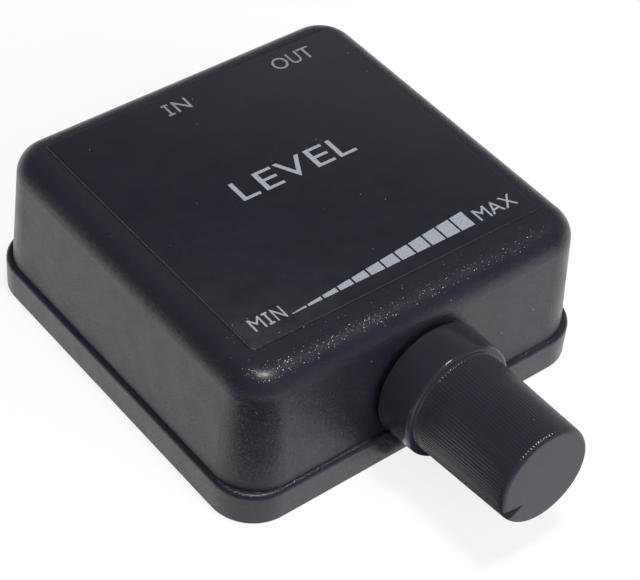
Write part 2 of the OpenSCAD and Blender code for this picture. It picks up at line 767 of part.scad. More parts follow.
// Ends of the wires: a socket's tags and the potentiometer's lugs, out of their own frames
wire_sides = 8;
wire_steps = 14;
function socket_point(x, p) =
    let (out = p[1] - panel_t)
    [x + p[0], wall_y(socket_z) + out * cos(draft) - p[2] * sin(draft),
        socket_z + out * sin(draft) + p[2] * cos(draft)];
function pot_point(p) =
    let (depth = p[2] + panel_t)
    [p[0], depth * cos(draft) - p[1] * sin(draft) - wall_y(knob_z),
        knob_z - p[1] * cos(draft) - depth * sin(draft)];
function side_tag(x, side) = socket_point(x, [side * tag_x, tag_y, tag_z]);
function sleeve_tag(x) = socket_point(x, [0, tag_y, sleeve_tag_z]);
function lug_end(past, row, z) = pot_point([pot_w / 2 + past - lug_w / 2, -row * lug_pitch, z]);
function front_lug_end(row) = lug_end(front_lug, row, rear_gang_z);
function rear_lug_end(row) = lug_end(rear_lug, row, cover_z);

// Curve from a tag at a to a lug at b, square to both
leave = [0, -cos(draft), -sin(draft)];
arrive = [0, -cos(draft), sin(draft)];
function wire_point(a, p, q, b, t) =
    let (s = 1 - t) s * s * s * a + 3 * s * s * t * p + 3 * s * t * t * q + t * t * t * b;
function wire_way(a, p, q, b, t) =
    let (s = 1 - t) s * s * (p - a) + 2 * s * t * (q - p) + t * t * (b - q);
function unit(v) = v / norm(v);

// Round wire along that curve, with its pull at either end
module wire(a, b, shade, from_tag, to_lug) {
    p = a + from_tag * leave;
    q = b - to_lug * arrive;
    rings = [
        for (i = [0:wire_steps])
            let (
                t = i / wire_steps,
                way = unit(wire_way(a, p, q, b, t)),
                across = unit(cross(way, [0, 0, 1])),
                up = cross(across, way)
            )
            for (k = [0:wire_sides - 1])
                let (turn = 360 / wire_sides * k)
                wire_point(a, p, q, b, t) + wire_r * (cos(turn) * across + sin(turn) * up)
    ];
    last = wire_steps * wire_sides;
    walls = [
        for (i = [0:wire_steps - 1], k = [0:wire_sides - 1])
            let (n = (k + 1) % wire_sides, low = i * wire_sides, high = low + wire_sides)
            each [[low + k, low + n, high + n], [low + k, high + n, high + k]]
    ];
    start_cap = [for (k = [1:wire_sides - 2]) [0, k + 1, k]];
    end_cap = [for (k = [1:wire_sides - 2]) [last, last + k, last + k + 1]];
    color(shade) polyhedron(rings, concat(walls, start_cap, end_cap));
}

module front_wire(a, row, shade) { wire(a, front_lug_end(row), shade, tag_lead, lug_lead); }
module rear_wire(a, row, shade) { wire(a, rear_lug_end(row), shade, rear_lead, rear_lead); }

module wire_in_left() { front_wire(side_tag(input_x, 1), 1, white_colour); }
module wire_in_right() { rear_wire(side_tag(input_x, -1), 1, red_colour); }
module wire_out_left() { front_wire(side_tag(output_x, 1), 0, white_colour); }
module wire_out_right() { rear_wire(side_tag(output_x, -1), 0, red_colour); }
module wire_in_ground() { rear_wire(sleeve_tag(input_x), -1, black_colour); }
module wire_out_ground() { front_wire(sleeve_tag(output_x), -1, black_colour); }

// Bare link between the two ground lugs
module ground_link() {
    color(metal_colour) at_pot() translate([pot_w / 2 + lug_w, lug_pitch, rear_gang_z])
        cylinder(r = link_r, h = cover_z - lug_t - rear_gang_z);
}

upper_case();
base_cover();
case_screws();
top_label();
knob();
pot_shaft();
pot_shaft_clip();
pot_front_rotor();
pot_front_wiper();
pot_rear_rotor();
pot_rear_wiper();
pot_bush();
pot_lock_washer();
pot_nut();
pot_front_housing();
pot_front_track();
pot_front_lugs();
pot_rear_housing();
pot_rear_track();
pot_rear_lugs();
pot_rear_cover();
input_body();
input_bush();
input_nut();
input_tip_contact();
input_ring_contact();
input_sleeve_contact();
output_body();
output_bush();
output_nut();
output_tip_contact();
output_ring_contact();
output_sleeve_contact();
wire_in_left();
wire_in_right();
wire_out_left();
wire_out_right();
wire_in_ground();
wire_out_ground();
ground_link();
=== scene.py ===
"""Looks of the inline volume control: a black textured case, a printed film and a ribbed knob"""

import json
import math

import bmesh
import bpy
from mathutils import Matrix, Vector


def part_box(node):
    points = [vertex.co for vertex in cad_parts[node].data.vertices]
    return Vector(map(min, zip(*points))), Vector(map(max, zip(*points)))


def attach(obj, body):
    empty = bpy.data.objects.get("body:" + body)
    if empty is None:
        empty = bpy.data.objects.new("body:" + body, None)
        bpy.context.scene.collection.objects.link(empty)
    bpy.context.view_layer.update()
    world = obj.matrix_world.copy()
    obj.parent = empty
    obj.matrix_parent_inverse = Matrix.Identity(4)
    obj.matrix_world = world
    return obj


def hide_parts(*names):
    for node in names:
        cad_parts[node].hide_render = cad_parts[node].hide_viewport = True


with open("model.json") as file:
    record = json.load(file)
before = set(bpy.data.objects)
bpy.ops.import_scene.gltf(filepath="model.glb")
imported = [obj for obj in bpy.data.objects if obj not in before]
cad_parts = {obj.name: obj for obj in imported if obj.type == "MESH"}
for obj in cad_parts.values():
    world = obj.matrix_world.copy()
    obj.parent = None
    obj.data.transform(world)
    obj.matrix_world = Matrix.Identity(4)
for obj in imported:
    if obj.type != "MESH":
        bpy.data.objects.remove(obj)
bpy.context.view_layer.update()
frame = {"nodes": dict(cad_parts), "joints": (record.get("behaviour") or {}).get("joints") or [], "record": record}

MM = 0.001
nodes = frame["nodes"]
record = frame["record"]
scene = bpy.context.scene

# Photograph's frame, and the camera that was fitted to it
PHOTO_W = 640
SENSOR_W = 36.0
FOCAL_PX = 2147.5
VIEW_AZIMUTH = math.radians(-42.102)
VIEW_ELEVATION = math.radians(44.064)
VIEW_ROLL = math.radians(5.478)
VIEW_DISTANCE = 256.52 * MM
VIEW_TARGET = Vector((5.379, 0, 0.318)) * MM
VIEW_NEAR = 0.01
VIEW_FAR = 20

# Knob, measured from its rear face along its axis, in millimetres
KNOB_OFF = 0.9
KNOB_L = 18.6
COLLAR_REAR_R = 7.3
COLLAR_FRONT_R = 7.15
COLLAR_L = 4.85
COLLAR_ROUND = 0.45
COLLAR_REACH = 0.32
REAR_ROUND = 0.6
SHOULDER_FILLET = 0.25
GRIP_R = 6.32
TIP_R = 6.0
TIP_ROUND = 0.5
TIP_RUN = 0.8
RIB_COUNT = 94
RIB_DEPTH = 0.05
RIB_STEPS = 8
RIB_SHARPNESS = 3
GRIP_ROWS = 12
ARC_ROWS = 8
FILLET_ROWS = 6
KNOB_EDGE = 0.12
HOLLOW_R = 6.07
HOLLOW_L = 2.5
BORE_R = 3.02
BORE_END = 16.62
POINTER_ANGLE = math.radians(-121.5)
POINTER_LEAN = math.radians(-20)
POINTER_L = 2.5
POINTER_W = 1.9
POINTER_D = 0.7

# Printed film on the top, in millimetres from its own centre
FILM_W = 40.35
FILM_D = 38.85
FILM_T = 0.15
FILM_R = 0.4
FILM_EDGE = 0.05
FILM_SOFT = 0.3
FILM_LEAN = 0.55
FILM_TURN = math.radians(-0.7)
INK_T = 0.012
STROKE = 0.24
LETTER_STEPS = 4
LETTER_RISE = 0.5
LETTER_WELD = 1e-6
BAR_COUNT = 12
BAR_PITCH = 2.13
BAR_GAP = 0.26
BAR_LEFT = -13.0
BAR_BASE = -17.48
RAMP_LOW = 0.1
RAMP_HIGH = 2.5

# Sockets, in millimetres
COLLET_R = 3.0
COLLET_OVER = 0.5
PLUG_R = 1.8
MOUTH_L = 2.4
CHAMBER_R = 2.2
COLLET_L = 4.5
FLANGE_R = 3.5
FLANGE_T = 0.8
RING_R = 4.0
RING_T = 2.0
RING_BORE = 3.02
RING_TEETH = 36
RING_TOOTH = 0.15
RING_STEPS = 8
RING_BEVEL = 0.3
RING_BORE_BEVEL = 0.15
MOUTH_BEVEL = 0.2

# Case screws, in millimetres from the outer face of a head; dome rows are shares of its radius and falls
HEAD_R = 1.7
HEAD_H = 1.3
HEAD_DOME = 0.25
SHANK_R = 0.85
SHANK_L = 7.0
HEAD_DOME_ROWS = ((0.5, 0.05), (0.8, 0.12))
HEAD_ROUND = 0.1
HEAD_SIDE = 0.15
POINT_R = 0.3
POINT_L = 0.3
CROSS_W = 0.45
CROSS_L = 2.0
CROSS_D = 0.8

# Edges that turn by more than this stay crisp
CRISP = math.radians(35)


# Small helpers for meshes

def ring_points(radius, height, segments, depth=None):
    """Points round the Z axis; depth gives how far each point lies in from the radius"""
    points = []
    for step in range(segments):
        turn = 2 * math.pi * step / segments
        reach = radius - (depth(step) if depth else 0)
        points.append((reach * math.cos(turn), reach * math.sin(turn), height))
    return points


def skin(loops, closed=False):
    """Mesh that joins loops of points one after the other; a loop of one point closes an end"""
    made = bmesh.new()
    rings = [[made.verts.new(point) for point in loop] for loop in loops]
    count = max(len(ring) for ring in rings)
    pairs = list(zip(rings, rings[1:]))
    if closed:
        pairs.append((rings[-1], rings[0]))
    for low, high in pairs:
        for step in range(count):
            after = (step + 1) % count
            corners = (
                low[step % len(low)],
                low[after % len(low)],
                high[after % len(high)],
                high[step % len(high)],
            )
            made.faces.new(list(dict.fromkeys(corners)))
    bmesh.ops.recalc_face_normals(made, faces=made.faces)
    return made


def arc_rows(centre_r, centre_z, radius, start, end, steps):
    """Rows of (radius, height) along an arc in a half section, between two angles in degrees"""
    rows = []
    for step in range(steps + 1):
        angle = math.radians(start + (end - start) * step / steps)
        rows.append((centre_r + radius * math.cos(angle), centre_z + radius * math.sin(angle)))
    return rows


def as_mesh(name, made, place):
    """Mesh in metres, at its place in the frame, smooth but for its crisp edges"""
    made.transform(place @ Matrix.Scale(MM, 4))
    mesh = bpy.data.meshes.new(name)
    made.to_mesh(mesh)
    made.free()
    mesh.shade_smooth()
    mesh.set_sharp_from_angle(angle=CRISP)
    return mesh


def add_piece(name, mesh, body, slot, replaced=()):
    """Object that rides on a body, takes a slot's finish and stands for the nodes it replaces"""
    piece = bpy.data.objects.new(name, mesh)
    scene.collection.objects.link(piece)
    mesh.materials.append(finishes[slot])
    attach(piece, body)
    if replaced:
        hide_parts(*replaced)
    return piece


def cut(mesh, tool_shapes, place):
    """Cuts closed shapes out of a mesh and gives the new mesh"""
    body = bpy.data.objects.new("cut_body", mesh)
    scene.collection.objects.link(body)
    tools = []
    for index, shape in enumerate(tool_shapes):
        tool = bpy.data.objects.new("cut_tool", as_mesh("cut_tool", shape, place))
        scene.collection.objects.link(tool)
        tools.append(tool)
        change = body.modifiers.new(f"cut_{index}", "BOOLEAN")
        change.operation = "DIFFERENCE"
        change.solver = "EXACT"
        change.object = tool
    bpy.context.view_layer.update()
    done = bpy.data.meshes.new_from_object(body.evaluated_get(bpy.context.evaluated_depsgraph_get()))
    done.name = mesh.name + "_cut"
    for tool in tools + [body]:
        bpy.data.objects.remove(tool)
    done.shade_smooth()
    done.set_sharp_from_angle(angle=CRISP)
    return done


def prism(outline, low, high):
    """Closed prism over an outline"""
    made = bmesh.new()
    floor_loop = [made.verts.new((x, y, low)) for x, y in outline]
    roof_loop = [made.verts.new((x, y, high)) for x, y in outline]
    made.faces.new(floor_loop)
    made.faces.new(roof_loop)
    for step in range(len(outline)):
        after = (step + 1) % len(outline)
        made.faces.new((floor_loop[step], floor_loop[after], roof_loop[after], roof_loop[step]))
    bmesh.ops.recalc_face_normals(made, faces=made.faces)
    return made


# Small helpers for materials

def new_material(name):
    """Node material, with its tree, its Principled shader and the coordinates of the object"""
    made = bpy.data.materials.new(name)
    made.use_nodes = True
    tree = made.node_tree
    shader = tree.nodes["Principled BSDF"]
    coords = tree.nodes.new("ShaderNodeTexCoord").outputs["Object"]
    return made, tree, shader, coords


def noise(tree, coords, size, detail=2.0, stretch=None):
    """Noise whose features are about size metres across"""
    node = tree.nodes.new("ShaderNodeTexNoise")
    node.inputs["Scale"].default_value = 1 / size
    node.inputs["Detail"].default_value = detail
    if stretch:
        mapping = tree.nodes.new("ShaderNodeMapping")
        mapping.inputs["Scale"].default_value = stretch
        tree.links.new(coords, mapping.inputs["Vector"])
        coords = mapping.outputs["Vector"]
    tree.links.new(coords, node.inputs["Vector"])
    return node.outputs["Fac"]


def ranged(tree, value, low, high, start=0.3, end=0.7):
    """Maps a value from start..end to low..high"""
    node = tree.nodes.new("ShaderNodeMapRange")
    node.inputs["From Min"].default_value = start
    node.inputs["From Max"].default_value = end
    node.inputs["To Min"].default_value = low
    node.inputs["To Max"].default_value = high
    tree.links.new(value, node.inputs["Value"])
    return node.outputs["Result"]


def blended(tree, share, first, second):
    """Mix of two colours, or of a colour socket and a colour"""
    node = tree.nodes.new("ShaderNodeMix")
    node.data_type = "RGBA"
    tree.links.new(share, node.inputs["Factor"])
    for name, colour in (("A_Color", first), ("B_Color", second)):
        socket = next(s for s in node.inputs if s.identifier == name)
        if isinstance(colour, bpy.types.NodeSocket):
            tree.links.new(colour, socket)
        else:
            socket.default_value = (*colour, 1)
    return next(s for s in node.outputs if s.identifier == "Result_Color")


def bumped(tree, height, distance, normal=None):
    """Bump of a height, over a normal that may be bumped already"""
    node = tree.nodes.new("ShaderNodeBump")
    node.inputs["Distance"].default_value = distance
    tree.links.new(height, node.inputs["Height"])
    if normal:
        tree.links.new(normal, node.inputs["Normal"])
    return node.outputs["Normal"]


# Specks of dust: one cell of a grid may hold one, whose core and edge are shares of the cell
SPECK_CELL = 1.6 * MM
SPECK_CORE = 0.03
SPECK_EDGE = 0.06
SPECK_STEP = 0.01
SPECK_TONE = (0.2, 0.2, 0.21)


def dust(tree, coords, share):
    """Sparse specks in a share of the cells: 1 on a speck and 0 elsewhere"""
    node = tree.nodes.new("ShaderNodeTexVoronoi")
    node.inputs["Scale"].default_value = 1 / SPECK_CELL
    tree.links.new(coords, node.inputs["Vector"])
    near = ranged(tree, node.outputs["Distance"], 1, 0, SPECK_CORE, SPECK_EDGE)
    parts = tree.nodes.new("ShaderNodeSeparateColor")
    tree.links.new(node.outputs["Color"], parts.inputs["Color"])
    chosen = ranged(tree, parts.outputs["Red"], 1, 0, share - SPECK_STEP, share)
    both = tree.nodes.new("ShaderNodeMath")
    both.operation = "MULTIPLY"
    tree.links.new(near, both.inputs[0])
    tree.links.new(chosen, both.inputs[1])
    return both.outputs["Value"]


def flaked(tree, coords, size, spread):
    """Normal that leans at random from one small facet of the moulded texture to the next"""
    cells = tree.nodes.new("ShaderNodeTexVoronoi")
    cells.inputs["Scale"].default_value = 1 / size
    tree.links.new(coords, cells.inputs["Vector"])
    lean = tree.nodes.new("ShaderNodeVectorMath")
    lean.operation = "MULTIPLY_ADD"
    lean.inputs[1].default_value = (spread, spread, spread)
    lean.inputs[2].default_value = (-spread / 2, -spread / 2, -spread / 2)
    tree.links.new(cells.outputs["Color"], lean.inputs[0])
    total = tree.nodes.new("ShaderNodeVectorMath")
    tree.links.new(tree.nodes.new("ShaderNodeNewGeometry").outputs["Normal"], total.inputs[0])
    tree.links.new(lean.outputs["Vector"], total.inputs[1])
    unit = tree.nodes.new("ShaderNodeVectorMath")
    unit.operation = "NORMALIZE"
    tree.links.new(total.outputs["Vector"], unit.inputs[0])
    return unit.outputs["Vector"]


# Facets of the moulded texture that sparkle
SPARK_SIZE = 0.11 * MM
SPARK_SPREAD = 0.5
SPARK_ROUGH = 0.2

# Moulded plastic: sizes of its mottling, of its patches of gloss and of its shallow waves
MOTTLE_SIZE = 7 * MM
GLOSS_SIZE = 2.5 * MM
GLOSS_CHANGE = 0.15
WAVE_SIZE = 4 * MM
WAVE_DEPTH = 0.012 * MM
GRAIN_SLOPE = 1 / 60


def textured_plastic(name, dark, light, rough, grain, specks, level=0.5, sparkle=0.0):
    """Black moulded plastic with a fine grain, mottling and specks of dust, whose texture may sparkle"""
    made, tree, shader, coords = new_material(name)
    mottle = ranged(tree, noise(tree, coords, MOTTLE_SIZE), 0, 1)
    colour = blended(tree, mottle, dark, light)
    colour = blended(tree, dust(tree, coords, specks), colour, SPECK_TONE)
    tree.links.new(colour, shader.inputs["Base Color"])
    patches = noise(tree, coords, GLOSS_SIZE)
    gloss = ranged(tree, patches, rough * (1 - GLOSS_CHANGE), rough * (1 + GLOSS_CHANGE))
    tree.links.new(gloss, shader.inputs["Roughness"])
    waves = bumped(tree, noise(tree, coords, WAVE_SIZE), WAVE_DEPTH)
    bumps = bumped(tree, noise(tree, coords, grain), grain * GRAIN_SLOPE, waves)
    tree.links.new(bumps, shader.inputs["Normal"])
    shader.inputs["Specular IOR Level"].default_value = level
    if sparkle:
        shader.inputs["Coat Weight"].default_value = sparkle
        shader.inputs["Coat Roughness"].default_value = SPARK_ROUGH
        tree.links.new(flaked(tree, coords, SPARK_SIZE, SPARK_SPREAD), shader.inputs["Coat Normal"])
    return made


# Plain finishes: size of their mottling, and size and depth of their marks
PATCH_SIZE = 1.5 * MM
MARK_SIZE = 0.25 * MM
MARK_DETAIL = 3.0
MARK_DEPTH = 0.002 * MM
MARK_GLOSSY = 0.8
MARK_DULL = 1.25
BRUSHED = (1.0, 0.06, 0.06)


def plain_finish(name, dark, light, rough, metal=0.0, stretch=None):
    """Finish with mottled colour, uneven gloss and fine marks, which may be stretched by a brush"""
    made, tree, shader, coords = new_material(name)
    mottle = ranged(tree, noise(tree, coords, PATCH_SIZE), 0, 1)
    tree.links.new(blended(tree, mottle, dark, light), shader.inputs["Base Color"])
    marks = noise(tree, coords, MARK_SIZE, MARK_DETAIL, stretch)
    tree.links.new(ranged(tree, marks, rough * MARK_GLOSSY, rough * MARK_DULL), shader.inputs["Roughness"])
    tree.links.new(bumped(tree, marks, MARK_DEPTH), shader.inputs["Normal"])
    shader.inputs["Metallic"].default_value = metal
    return made


# Ink: size of its thin places, the noise at which it is thin and full, its roughness and its relief
INK_PATCH = 0.14 * MM
INK_THIN = 0.35
INK_FULL = 0.65
INK_DULL = 0.55
INK_GLOSSY = 0.4
INK_RELIEF = 0.003 * MM


def ink_finish(name, thin_tone, full_tone):
    """Pale screen print, a little thin in places"""
    made, tree, shader, coords = new_material(name)
    cover = ranged(tree, noise(tree, coords, INK_PATCH), 0, 1, INK_THIN, INK_FULL)
    tree.links.new(blended(tree, cover, thin_tone, full_tone), shader.inputs["Base Color"])
    tree.links.new(ranged(tree, cover, INK_DULL, INK_GLOSSY, 0, 1), shader.inputs["Roughness"])
    tree.links.new(bumped(tree, cover, INK_RELIEF), shader.inputs["Normal"])
    return made


finishes = {
    "case_plastic": textured_plastic(
        "case_plastic", (0.0140, 0.0146, 0.0212), (0.0163, 0.0170, 0.0246),
        rough=0.37, grain=0.2 * MM, specks=0.35, level=0.33, sparkle=0.3,
    ),
    "label_film": textured_plastic(
        "label_film", (0.0137, 0.0143, 0.0195), (0.0160, 0.0167, 0.0228),
        rough=0.27, grain=0.3 * MM, specks=0.45,
    ),
    "knob_plastic": textured_plastic(
        "knob_plastic", (0.0252, 0.0257, 0.0325), (0.0290, 0.0296, 0.0372),
        rough=0.17, grain=0.3 * MM, specks=0.25, level=0.34,
    ),
    "screw_steel": plain_finish("screw_steel", (0.42, 0.42, 0.44), (0.55, 0.55, 0.56), 0.3, metal=1.0),
    "nickel": plain_finish("nickel", (0.60, 0.58, 0.55), (0.72, 0.70, 0.66), 0.2, metal=1.0),
    "shaft_alloy": plain_finish(
        "shaft_alloy", (0.66, 0.66, 0.68), (0.78, 0.78, 0.79), 0.28, metal=1.0, stretch=BRUSHED
    ),
    "zinc": plain_finish("zinc", (0.50, 0.50, 0.52), (0.62, 0.62, 0.63), 0.4, metal=1.0),
    "clip_steel": plain_finish(
        "clip_steel", (0.50, 0.50, 0.51), (0.60, 0.60, 0.60), 0.3, metal=1.0, stretch=BRUSHED
    ),
    "rotor_plastic": plain_finish("rotor_plastic", (0.74, 0.73, 0.68), (0.82, 0.82, 0.78), 0.45),
    "frame_plastic": plain_finish("frame_plastic", (0.030, 0.030, 0.033), (0.05, 0.05, 0.055), 0.4),
    "board": plain_finish("board", (0.24, 0.12, 0.06), (0.34, 0.19, 0.10), 0.5),
    "contact_brass": plain_finish("contact_brass", (0.66, 0.50, 0.22), (0.80, 0.64, 0.32), 0.28, metal=1.0),
    "tinned_wire": plain_finish("tinned_wire", (0.60, 0.60, 0.60), (0.72, 0.72, 0.71), 0.3, metal=1.0),
    "wire_white": plain_finish("wire_white", (0.74, 0.74, 0.71), (0.82, 0.82, 0.79), 0.4),
    "wire_red": plain_finish("wire_red", (0.42, 0.02, 0.02), (0.52, 0.035, 0.03), 0.4),
    "wire_black": plain_finish("wire_black", (0.02, 0.02, 0.02), (0.035, 0.035, 0.035), 0.4),
}
ink = ink_finish("print_ink", (0.25, 0.27, 0.30), (0.46, 0.49, 0.53))
# The same ink painted darker as shade, for the words at the rear of the film
painted_shade_ink = ink_finish("painted_shade_ink", (0.19, 0.20, 0.215), (0.34, 0.355, 0.375))
# Edges of the film: a pale painted highlight on the left edge, and painted light on the front edge
painted_highlight_left_edge = plain_finish("painted_highlight_left_edge", (0.065, 0.065, 0.07), (0.11, 0.11, 0.115), 0.5)
painted_light_front_edge = plain_finish("painted_light_front_edge", (0.024, 0.025, 0.029), (0.034, 0.035, 0.039), 0.5)
# Nickel painted dark as the shade in the gap behind the knob, for the pot nut and its lock washer
painted_shade_nickel = plain_finish("painted_shade_nickel", (0.12, 0.12, 0.12), (0.18, 0.175, 0.17), 0.6, metal=1.0)
for row in record["subparts"]:
    nodes[row["node"]].material_slots[0].material = finishes[row["material_slot"]]
# The pot nut and lock washer sit in the gap behind the knob and take the nickel painted dark as shade
for name in ("pot_nut", "pot_lock_washer"):
    nodes[name].material_slots[0].material = painted_shade_nickel


# Knob: collar with a round shoulder, tapered ribbed grip and a flat end with a pointer cut

turn_joint = frame["joints"][0]
knob_axis = -Vector(turn_joint["axis"]).normalized()
knob_side = Vector((1, 0, 0))
knob_up = knob_axis.cross(knob_side)
knob_spot = Vector(turn_joint["pos_m"]) + knob_axis * KNOB_OFF * MM
knob_place = Matrix((knob_side, knob_up, knob_axis)).transposed().to_4x4()
knob_place.translation = knob_spot


def rib_depth(step):
    """Depth between the ribs, which have broad crests and narrow grooves"""
    wave = 0.5 - 0.5 * math.cos(2 * math.pi * step / RIB_STEPS)
    return RIB_DEPTH * wave ** RIB_SHARPNESS


def knob_shape():
    """Closed knob, from the end of its shaft hole out round the collar and along the grip to its end"""
    grip_start = COLLAR_L + SHOULDER_FILLET
    grip_end = KNOB_L - TIP_RUN
    segments = RIB_COUNT * RIB_STEPS
    rear = -COLLAR_REACH
    rows = [(BORE_R, BORE_END), (BORE_R, HOLLOW_L), (HOLLOW_R, HOLLOW_L)]
    rows += [(HOLLOW_R, rear + KNOB_EDGE), (HOLLOW_R + KNOB_EDGE, rear)]
    rows += arc_rows(COLLAR_REAR_R - REAR_ROUND, rear + REAR_ROUND, REAR_ROUND, -90, 0, ARC_ROWS)
    rows += [(COLLAR_FRONT_R, COLLAR_L - COLLAR_ROUND - KNOB_EDGE)]
    shoulder_r = COLLAR_FRONT_R - COLLAR_ROUND
    rows += arc_rows(shoulder_r, COLLAR_L - COLLAR_ROUND, COLLAR_ROUND, 0, 90, ARC_ROWS)
    loops = [[(0, 0, BORE_END)]]
    loops += [ring_points(radius, height, segments) for radius, height in rows]
    fillet = arc_rows(GRIP_R + SHOULDER_FILLET, grip_start, SHOULDER_FILLET, 270, 180, FILLET_ROWS)
    for radius, height in fillet[:-1]:
        share = (height - COLLAR_L) / SHOULDER_FILLET
        loops.append(ring_points(radius, height, segments, lambda step: share * rib_depth(step)))
    for row in range(GRIP_ROWS + 1):
        share = row / GRIP_ROWS
        height = grip_start + (grip_end - grip_start) * share
        loops.append(ring_points(GRIP_R + (TIP_R - GRIP_R) * share, height, segments, rib_depth))
    for row in range(1, ARC_ROWS):
        angle = math.radians(90 * row / ARC_ROWS)
        radius = TIP_R - TIP_ROUND + TIP_ROUND * math.cos(angle)
        height = grip_end + TIP_RUN * math.sin(angle)
        loops.append(ring_points(radius, height, segments, lambda step: math.cos(angle) * rib_depth(step)))
    face_r = TIP_R - TIP_ROUND
    for radius in (face_r, face_r - KNOB_EDGE, face_r / 2):
        loops.append(ring_points(radius, KNOB_L, segments))
    loops.append([(0, 0, KNOB_L)])
    return skin(loops)


pointer = prism([(0, 0), (POINTER_W, 2 * POINTER_D), (-POINTER_W, 2 * POINTER_D)], -POINTER_L, POINTER_L)
pointer.transform(
    Matrix.Rotation(-POINTER_ANGLE, 4, "Z")
    @ Matrix.Translation((0, TIP_R - POINTER_L / 2, KNOB_L - POINTER_D / 2))
    @ Matrix.Rotation(POINTER_LEAN, 4, "Z")
    @ Matrix.Rotation(math.atan2(POINTER_L, POINTER_D), 4, "X")
)
knob_mesh = cut(as_mesh("knob_body", knob_shape(), knob_place), [pointer], knob_place)
add_piece("control_knob", knob_mesh, "control", "knob_plastic", ["knob"])


# Film on the top, with its print

def rounded_outline(half_w, half_d, radius, steps=8):
    """Outline with round corners, anticlockwise"""
    points = []
    for quarter, (sx, sy) in enumerate(((1, 1), (-1, 1), (-1, -1), (1, -1))):
        for step in range(steps + 1):
            angle = math.radians(90 * (quarter + step / steps))
            x = sx * (half_w - radius) + radius * math.cos(angle)
            y = sy * (half_d - radius) + radius * math.sin(angle)
            points.append((x, y))
    return points


def leaned(x, y):
    """Film's left edge, which was cut a little out of square and runs inwards to the front"""
    return x + FILM_LEAN * (0.5 - y / FILM_D) if x < 0 else x


def film_shape():
    """Film with a softened upper edge, whose left side carries a painted highlight and whose front side is painted
    paler than the face as painted light, each with a finish of its own
    """
    soft = FILM_SOFT * FILM_EDGE
    rows = ((0, 0), (0, FILM_T - FILM_EDGE), (soft, FILM_T - soft), (FILM_EDGE, FILM_T))
    loops = []
    for inset, height in rows:
        outline = rounded_outline(FILM_W / 2 - inset, FILM_D / 2 - inset, FILM_R - inset)
        loops.append([(leaned(x, y), y, height) for x, y in outline])
    made = skin(loops)
    for face in made.faces:
        middle = face.calc_center_median()
        # Faces of the left side take the painted highlight, and faces of the front side take the painted light
        if middle.x < -FILM_W / 4:
            face.material_index = 1
        elif middle.y < -FILM_D / 4:
            face.material_index = 2
    made.verts.ensure_lookup_table()
    count = len(loops[0])
    made.faces.new(made.verts[:count])
    made.faces.new(made.verts[-count:])
    bmesh.ops.recalc_face_normals(made, faces=made.faces)
    return made


film_low, film_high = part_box("top_label")
film_place = Matrix.Translation((
    (film_low.x + film_high.x) / 2,
    (film_low.y + film_high.y) / 2,
    film_low.z,
)) @ Matrix.Rotation(FILM_TURN, 4, "Z")
film_mesh = as_mesh("label_film", film_shape(), film_place)
film = add_piece("label_film", film_mesh, "case", "label_film", ["top_label"])
film.data.materials.append(painted_highlight_left_edge)
film.data.materials.append(painted_light_front_edge)
ink_place = film_place @ Matrix.Translation((0, 0, (FILM_T - INK_T / 2) * MM))


def add_print(name, made, finish):
    """Thin layer of ink on the film"""
    piece = add_piece(name, as_mesh(name, made, ink_place), "case", "label_film")
    piece.data.materials[0] = finish


def letter(character, left, right, low, high):
    """One printed letter, set into a box on the film"""
    curve = bpy.data.curves.new("letter", "FONT")
    curve.body = character
    curve.extrude = LETTER_RISE
    curve.resolution_u = LETTER_STEPS
    text = bpy.data.objects.new("letter", curve)
    scene.collection.objects.link(text)
    bpy.context.view_layer.update()
    mesh = bpy.data.meshes.new_from_object(text.evaluated_get(bpy.context.evaluated_depsgraph_get()))
    bpy.data.objects.remove(text)
    made = bmesh.new()
    made.from_mesh(mesh)
    bpy.data.meshes.remove(mesh)
    bmesh.ops.remove_doubles(made, verts=made.verts, dist=LETTER_WELD)
    start = Vector((left, low, 0))
    size = Vector((right - left, high - low, INK_T))
    least = [min(vert.co[axis] for vert in made.verts) for axis in range(3)]
    most = [max(vert.co[axis] for vert in made.verts) for axis in range(3)]
    for vert in made.verts:
        for axis in range(3):
            share = (vert.co[axis] - least[axis]) / (most[axis] - least[axis])
            vert.co[axis] = start[axis] + share * size[axis]
    return made


def footed_i(left, right, low, high):
    """Letter I with a bar across its head and its foot"""
    middle = (left + right) / 2
    half = STROKE / 2
    outline = [
        (left, low), (right, low), (right, low + STROKE), (middle + half, low + STROKE),
        (middle + half, high - STROKE), (right, high - STROKE), (right, high), (left, high),
        (left, high - STROKE), (middle - half, high - STROKE), (middle - half, low + STROKE),
        (left, low + STROKE),
    ]
    return prism(outline, 0, INK_T)


def join(shapes):
    """One mesh from several"""
    whole = bmesh.new()
    for shape in shapes:
        holder = bpy.data.meshes.new("holder")
        shape.to_mesh(holder)
        shape.free()
        whole.from_mesh(holder)
        bpy.data.meshes.remove(holder)
    return whole


def lettering(name, letters, centre, width, height, finish=ink):
    """Printed word; each letter has the share of the word's width where it starts and ends"""
    left = centre[0] - width / 2
    low = centre[1] - height / 2
    shapes = []
    for character, start, end in letters:
        box = (left + start * width, left + end * width, low, low + height)
        shapes.append(footed_i(*box) if character == "I" else letter(character, *box))
    add_print(name, join(shapes), finish)


# Words at the rear take the ink painted darker as shade
lettering("print_in", (("I", 0, 0.27), ("N", 0.42, 1)), (-3.76, 17.06), 3.3, 2.0, painted_shade_ink)
lettering(
    "print_out",
    (("O", 0, 0.36), ("U", 0.42, 0.68), ("T", 0.71, 1)),
    (12.99, 17.06), 5.7, 2.1, painted_shade_ink,
)
lettering("print_min", (("M", 0, 0.36), ("I", 0.44, 0.61), ("N", 0.70, 1)), (-15.65, -16.55), 4.2, 1.86)
lettering("print_max", (("M", 0, 0.31), ("A", 0.34, 0.66), ("X", 0.68, 1)), (16.0, -16.5), 5.5, 1.9)
lettering(
    "print_word",
    (("L", 0, 0.15), ("E", 0.2, 0.36), ("V", 0.38, 0.61), ("E", 0.65, 0.81), ("L", 0.85, 1)),
    (1.2, 1.2), 16.0, 3.2,
)

